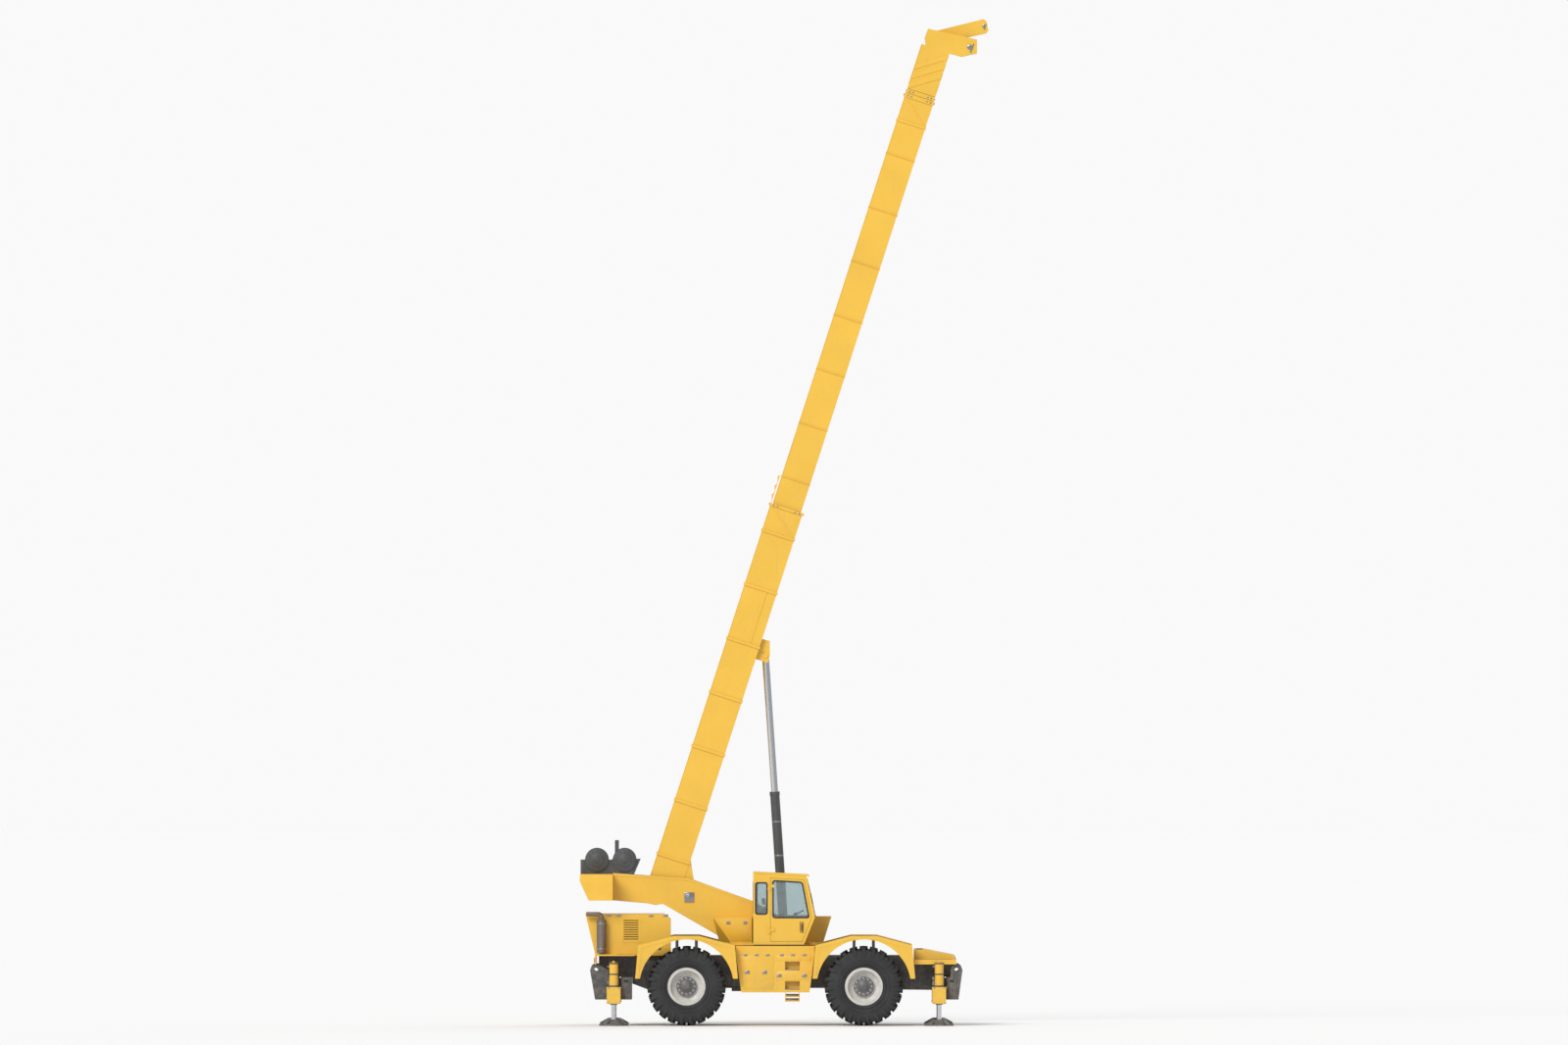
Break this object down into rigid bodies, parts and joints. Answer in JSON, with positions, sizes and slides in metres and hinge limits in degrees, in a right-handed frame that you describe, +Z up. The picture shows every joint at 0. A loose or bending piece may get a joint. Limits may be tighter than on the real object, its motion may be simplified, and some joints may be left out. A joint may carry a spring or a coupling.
{
  "type": "rough terrain crane",
  "caption": "Rough terrain crane: telescoping boom raised by a cylinder, swinging upper with side cab and winch drums, steered wheels, sliding outrigger beams with jacks.",
  "frame": {"origin": "on the ground under the middle of the machine's overall box", "axes": "+X forward, +Y to the machine's left, +Z up"},
  "size_m": [8.4453, 3.306, 20.7765],
  "materials": {
    "body_paint": "semi-gloss yellow",
    "dark_paint": "satin dark grey",
    "rim_paint": "satin off-white",
    "tyre": "matt rubber",
    "cab_glass": "clear tinted",
    "rod_chrome": "polished",
    "muffler_steel": "heat-stained",
    "lamp_lens": "clear moulded",
    "chair_fabric": "woven black",
    "controls_plastic": "grained black"
  },
  "bodies": {
    "carrier": {"carrier_frame": "dark_paint", "swing_bearing": "dark_paint", "centre_deck": "body_paint", "front_deck": "body_paint", "rear_deck": "body_paint", "side_boxes": "body_paint", "fenders": "dark_paint", "axle_housings": "dark_paint", "drive_line": "dark_paint", "engine_hood": "body_paint", "engine_block": "dark_paint", "muffler": "muffler_steel", "lamps": "lamp_lens", "outrigger_boxes": "body_paint", "tie_down_plates": "dark_paint"},
    "steer_rear_right": {"knuckle_rear_right": "dark_paint"},
    "wheel_rear_right": {"tyre_rear_right": "tyre", "rim_rear_right": "rim_paint"},
    "steer_rear_left": {"knuckle_rear_left": "dark_paint"},
    "wheel_rear_left": {"tyre_rear_left": "tyre", "rim_rear_left": "rim_paint"},
    "steer_front_right": {"knuckle_front_right": "dark_paint"},
    "wheel_front_right": {"tyre_front_right": "tyre", "rim_front_right": "rim_paint"},
    "steer_front_left": {"knuckle_front_left": "dark_paint"},
    "wheel_front_left": {"tyre_front_left": "tyre", "rim_front_left": "rim_paint"},
    "outrigger_rear_right": {"beam_rear_right": "body_paint"},
    "float_rear_right": {"jack_rear_right": "dark_paint"},
    "outrigger_rear_left": {"beam_rear_left": "body_paint"},
    "float_rear_left": {"jack_rear_left": "dark_paint"},
    "outrigger_front_right": {"beam_front_right": "body_paint"},
    "float_front_right": {"jack_front_right": "dark_paint"},
    "outrigger_front_left": {"beam_front_left": "body_paint"},
    "float_front_left": {"jack_front_left": "dark_paint"},
    "turntable": {"turntable_frame": "body_paint", "turntable_fairing": "body_paint", "counterweight": "body_paint", "winch_frame": "dark_paint", "cab_side_walls": "body_paint", "cab_end_frames": "body_paint", "cab_floor_roof": "body_paint", "cab_glass": "cab_glass", "cab_chair": "chair_fabric", "cab_controls": "controls_plastic"},
    "door": {"door_panel": "body_paint", "door_glass": "cab_glass"},
    "winch_rear": {"winch_drum_rear": "dark_paint"},
    "winch_front": {"winch_drum_front": "dark_paint"},
    "boom": {"boom_base": "body_paint"},
    "boom_two": {"boom_second": "body_paint"},
    "boom_three": {"boom_third": "body_paint"},
    "boom_four": {"boom_head": "body_paint", "boom_nose": "body_paint"},
    "head_sheave_set": {"head_sheaves": "dark_paint"},
    "nose_sheave_set": {"nose_sheave": "dark_paint"},
    "lift_cylinder": {"lift_barrel": "dark_paint"},
    "lift_piston": {"lift_rod": "rod_chrome"}
  },
  "joints": [
    {"name": "steering_rear_right", "type": "hinge", "parent": "carrier", "child": "steer_rear_right", "pos_m": [-2.014, -0.85, 0.81], "axis": [0, 0, 1], "range_deg": [-20, 20]},
    {"name": "wheel_spin_rear_right", "type": "hinge", "parent": "steer_rear_right", "child": "wheel_rear_right", "pos_m": [-2.014, -1.195, 0.81], "axis": [0, 1, 0], "continuous": true},
    {"name": "steering_rear_left", "type": "hinge", "parent": "carrier", "child": "steer_rear_left", "pos_m": [-2.014, 0.85, 0.81], "axis": [0, 0, 1], "range_deg": [-20, 20]},
    {"name": "wheel_spin_rear_left", "type": "hinge", "parent": "steer_rear_left", "child": "wheel_rear_left", "pos_m": [-2.014, 1.195, 0.81], "axis": [0, 1, 0], "continuous": true},
    {"name": "steering_front_right", "type": "hinge", "parent": "carrier", "child": "steer_front_right", "pos_m": [1.644, -0.85, 0.81], "axis": [0, 0, 1], "range_deg": [-20, 20]},
    {"name": "wheel_spin_front_right", "type": "hinge", "parent": "steer_front_right", "child": "wheel_front_right", "pos_m": [1.644, -1.195, 0.81], "axis": [0, 1, 0], "continuous": true},
    {"name": "steering_front_left", "type": "hinge", "parent": "carrier", "child": "steer_front_left", "pos_m": [1.644, 0.85, 0.81], "axis": [0, 0, 1], "range_deg": [-20, 20]},
    {"name": "wheel_spin_front_left", "type": "hinge", "parent": "steer_front_left", "child": "wheel_front_left", "pos_m": [1.644, 1.195, 0.81], "axis": [0, 1, 0], "continuous": true},
    {"name": "outrigger_slide_rear_right", "type": "slide", "parent": "carrier", "child": "outrigger_rear_right", "axis": [0, -1, 0], "range_m": [0, 1.65]},
    {"name": "jack_slide_rear_right", "type": "slide", "parent": "outrigger_rear_right", "child": "float_rear_right", "axis": [0, 0, 1], "range_m": [-0.25, 0.3]},
    {"name": "outrigger_slide_rear_left", "type": "slide", "parent": "carrier", "child": "outrigger_rear_left", "axis": [0, 1, 0], "range_m": [0, 1.65]},
    {"name": "jack_slide_rear_left", "type": "slide", "parent": "outrigger_rear_left", "child": "float_rear_left", "axis": [0, 0, 1], "range_m": [-0.25, 0.3]},
    {"name": "outrigger_slide_front_right", "type": "slide", "parent": "carrier", "child": "outrigger_front_right", "axis": [0, -1, 0], "range_m": [0, 1.65]},
    {"name": "jack_slide_front_right", "type": "slide", "parent": "outrigger_front_right", "child": "float_front_right", "axis": [0, 0, 1], "range_m": [-0.25, 0.3]},
    {"name": "outrigger_slide_front_left", "type": "slide", "parent": "carrier", "child": "outrigger_front_left", "axis": [0, 1, 0], "range_m": [0, 1.65]},
    {"name": "jack_slide_front_left", "type": "slide", "parent": "outrigger_front_left", "child": "float_front_left", "axis": [0, 0, 1], "range_m": [-0.25, 0.3]},
    {"name": "swing", "type": "hinge", "parent": "carrier", "child": "turntable", "pos_m": [-0.185, 0, 1.65], "axis": [0, 0, 1], "continuous": true},
    {"name": "cab_door", "type": "hinge", "parent": "turntable", "child": "door", "pos_m": [-0.29, -1.186, 2.4], "axis": [0, 0, -1], "range_deg": [0, 95]},
    {"name": "winch_rear_spin", "type": "hinge", "parent": "turntable", "child": "winch_rear", "pos_m": [-3.868, 0, 3.412], "axis": [0, 1, 0], "continuous": true},
    {"name": "winch_front_spin", "type": "hinge", "parent": "turntable", "child": "winch_front", "pos_m": [-3.297, 0, 3.412], "axis": [0, 1, 0], "continuous": true},
    {"name": "boom_luff", "type": "hinge", "parent": "turntable", "child": "boom", "pos_m": [-1.963, 0, 2.643], "axis": [0, -1, 0], "range_deg": [-72, 2.9]},
    {"name": "telescope_two", "type": "slide", "parent": "boom", "child": "boom_two", "axis": [0.308, 0, 0.9514], "range_m": [-7.46, 0]},
    {"name": "telescope_three", "type": "slide", "parent": "boom_two", "child": "boom_three", "axis": [0.308, 0, 0.9514], "range_m": [0, 7.2]},
    {"name": "telescope_four", "type": "slide", "parent": "boom_three", "child": "boom_four", "axis": [0.308, 0, 0.9514], "range_m": [0, 7.2]},
    {"name": "head_sheave_spin", "type": "hinge", "parent": "boom_four", "child": "head_sheave_set", "pos_m": [3.83388, 0, 20.19061], "axis": [0, 1, 0], "continuous": true},
    {"name": "nose_sheave_spin", "type": "hinge", "parent": "boom_four", "child": "nose_sheave_set", "pos_m": [4.12262, 0, 20.62794], "axis": [0, 1, 0], "continuous": true},
    {"name": "lift_swing", "type": "hinge", "parent": "turntable", "child": "lift_cylinder", "pos_m": [0.001, 0, 1.887], "axis": [0, -1, 0], "range_deg": [-80, 3.4]},
    {"name": "lift_stroke", "type": "slide", "parent": "lift_cylinder", "child": "lift_piston", "axis": [-0.0676, 0, 0.9977], "range_m": [-2.402, 0.099]}
  ],
  "couplings": [
    {"joint": "steering_rear_left", "follows": "steering_rear_right", "ratio": 1},
    {"joint": "steering_front_left", "follows": "steering_front_right", "ratio": 1},
    {"joint": "lift_swing", "follows": "boom_luff", "ratio": 1.106},
    {"joint": "lift_stroke", "follows": "boom_luff", "m_per_rad": 1.9097}
  ]
}
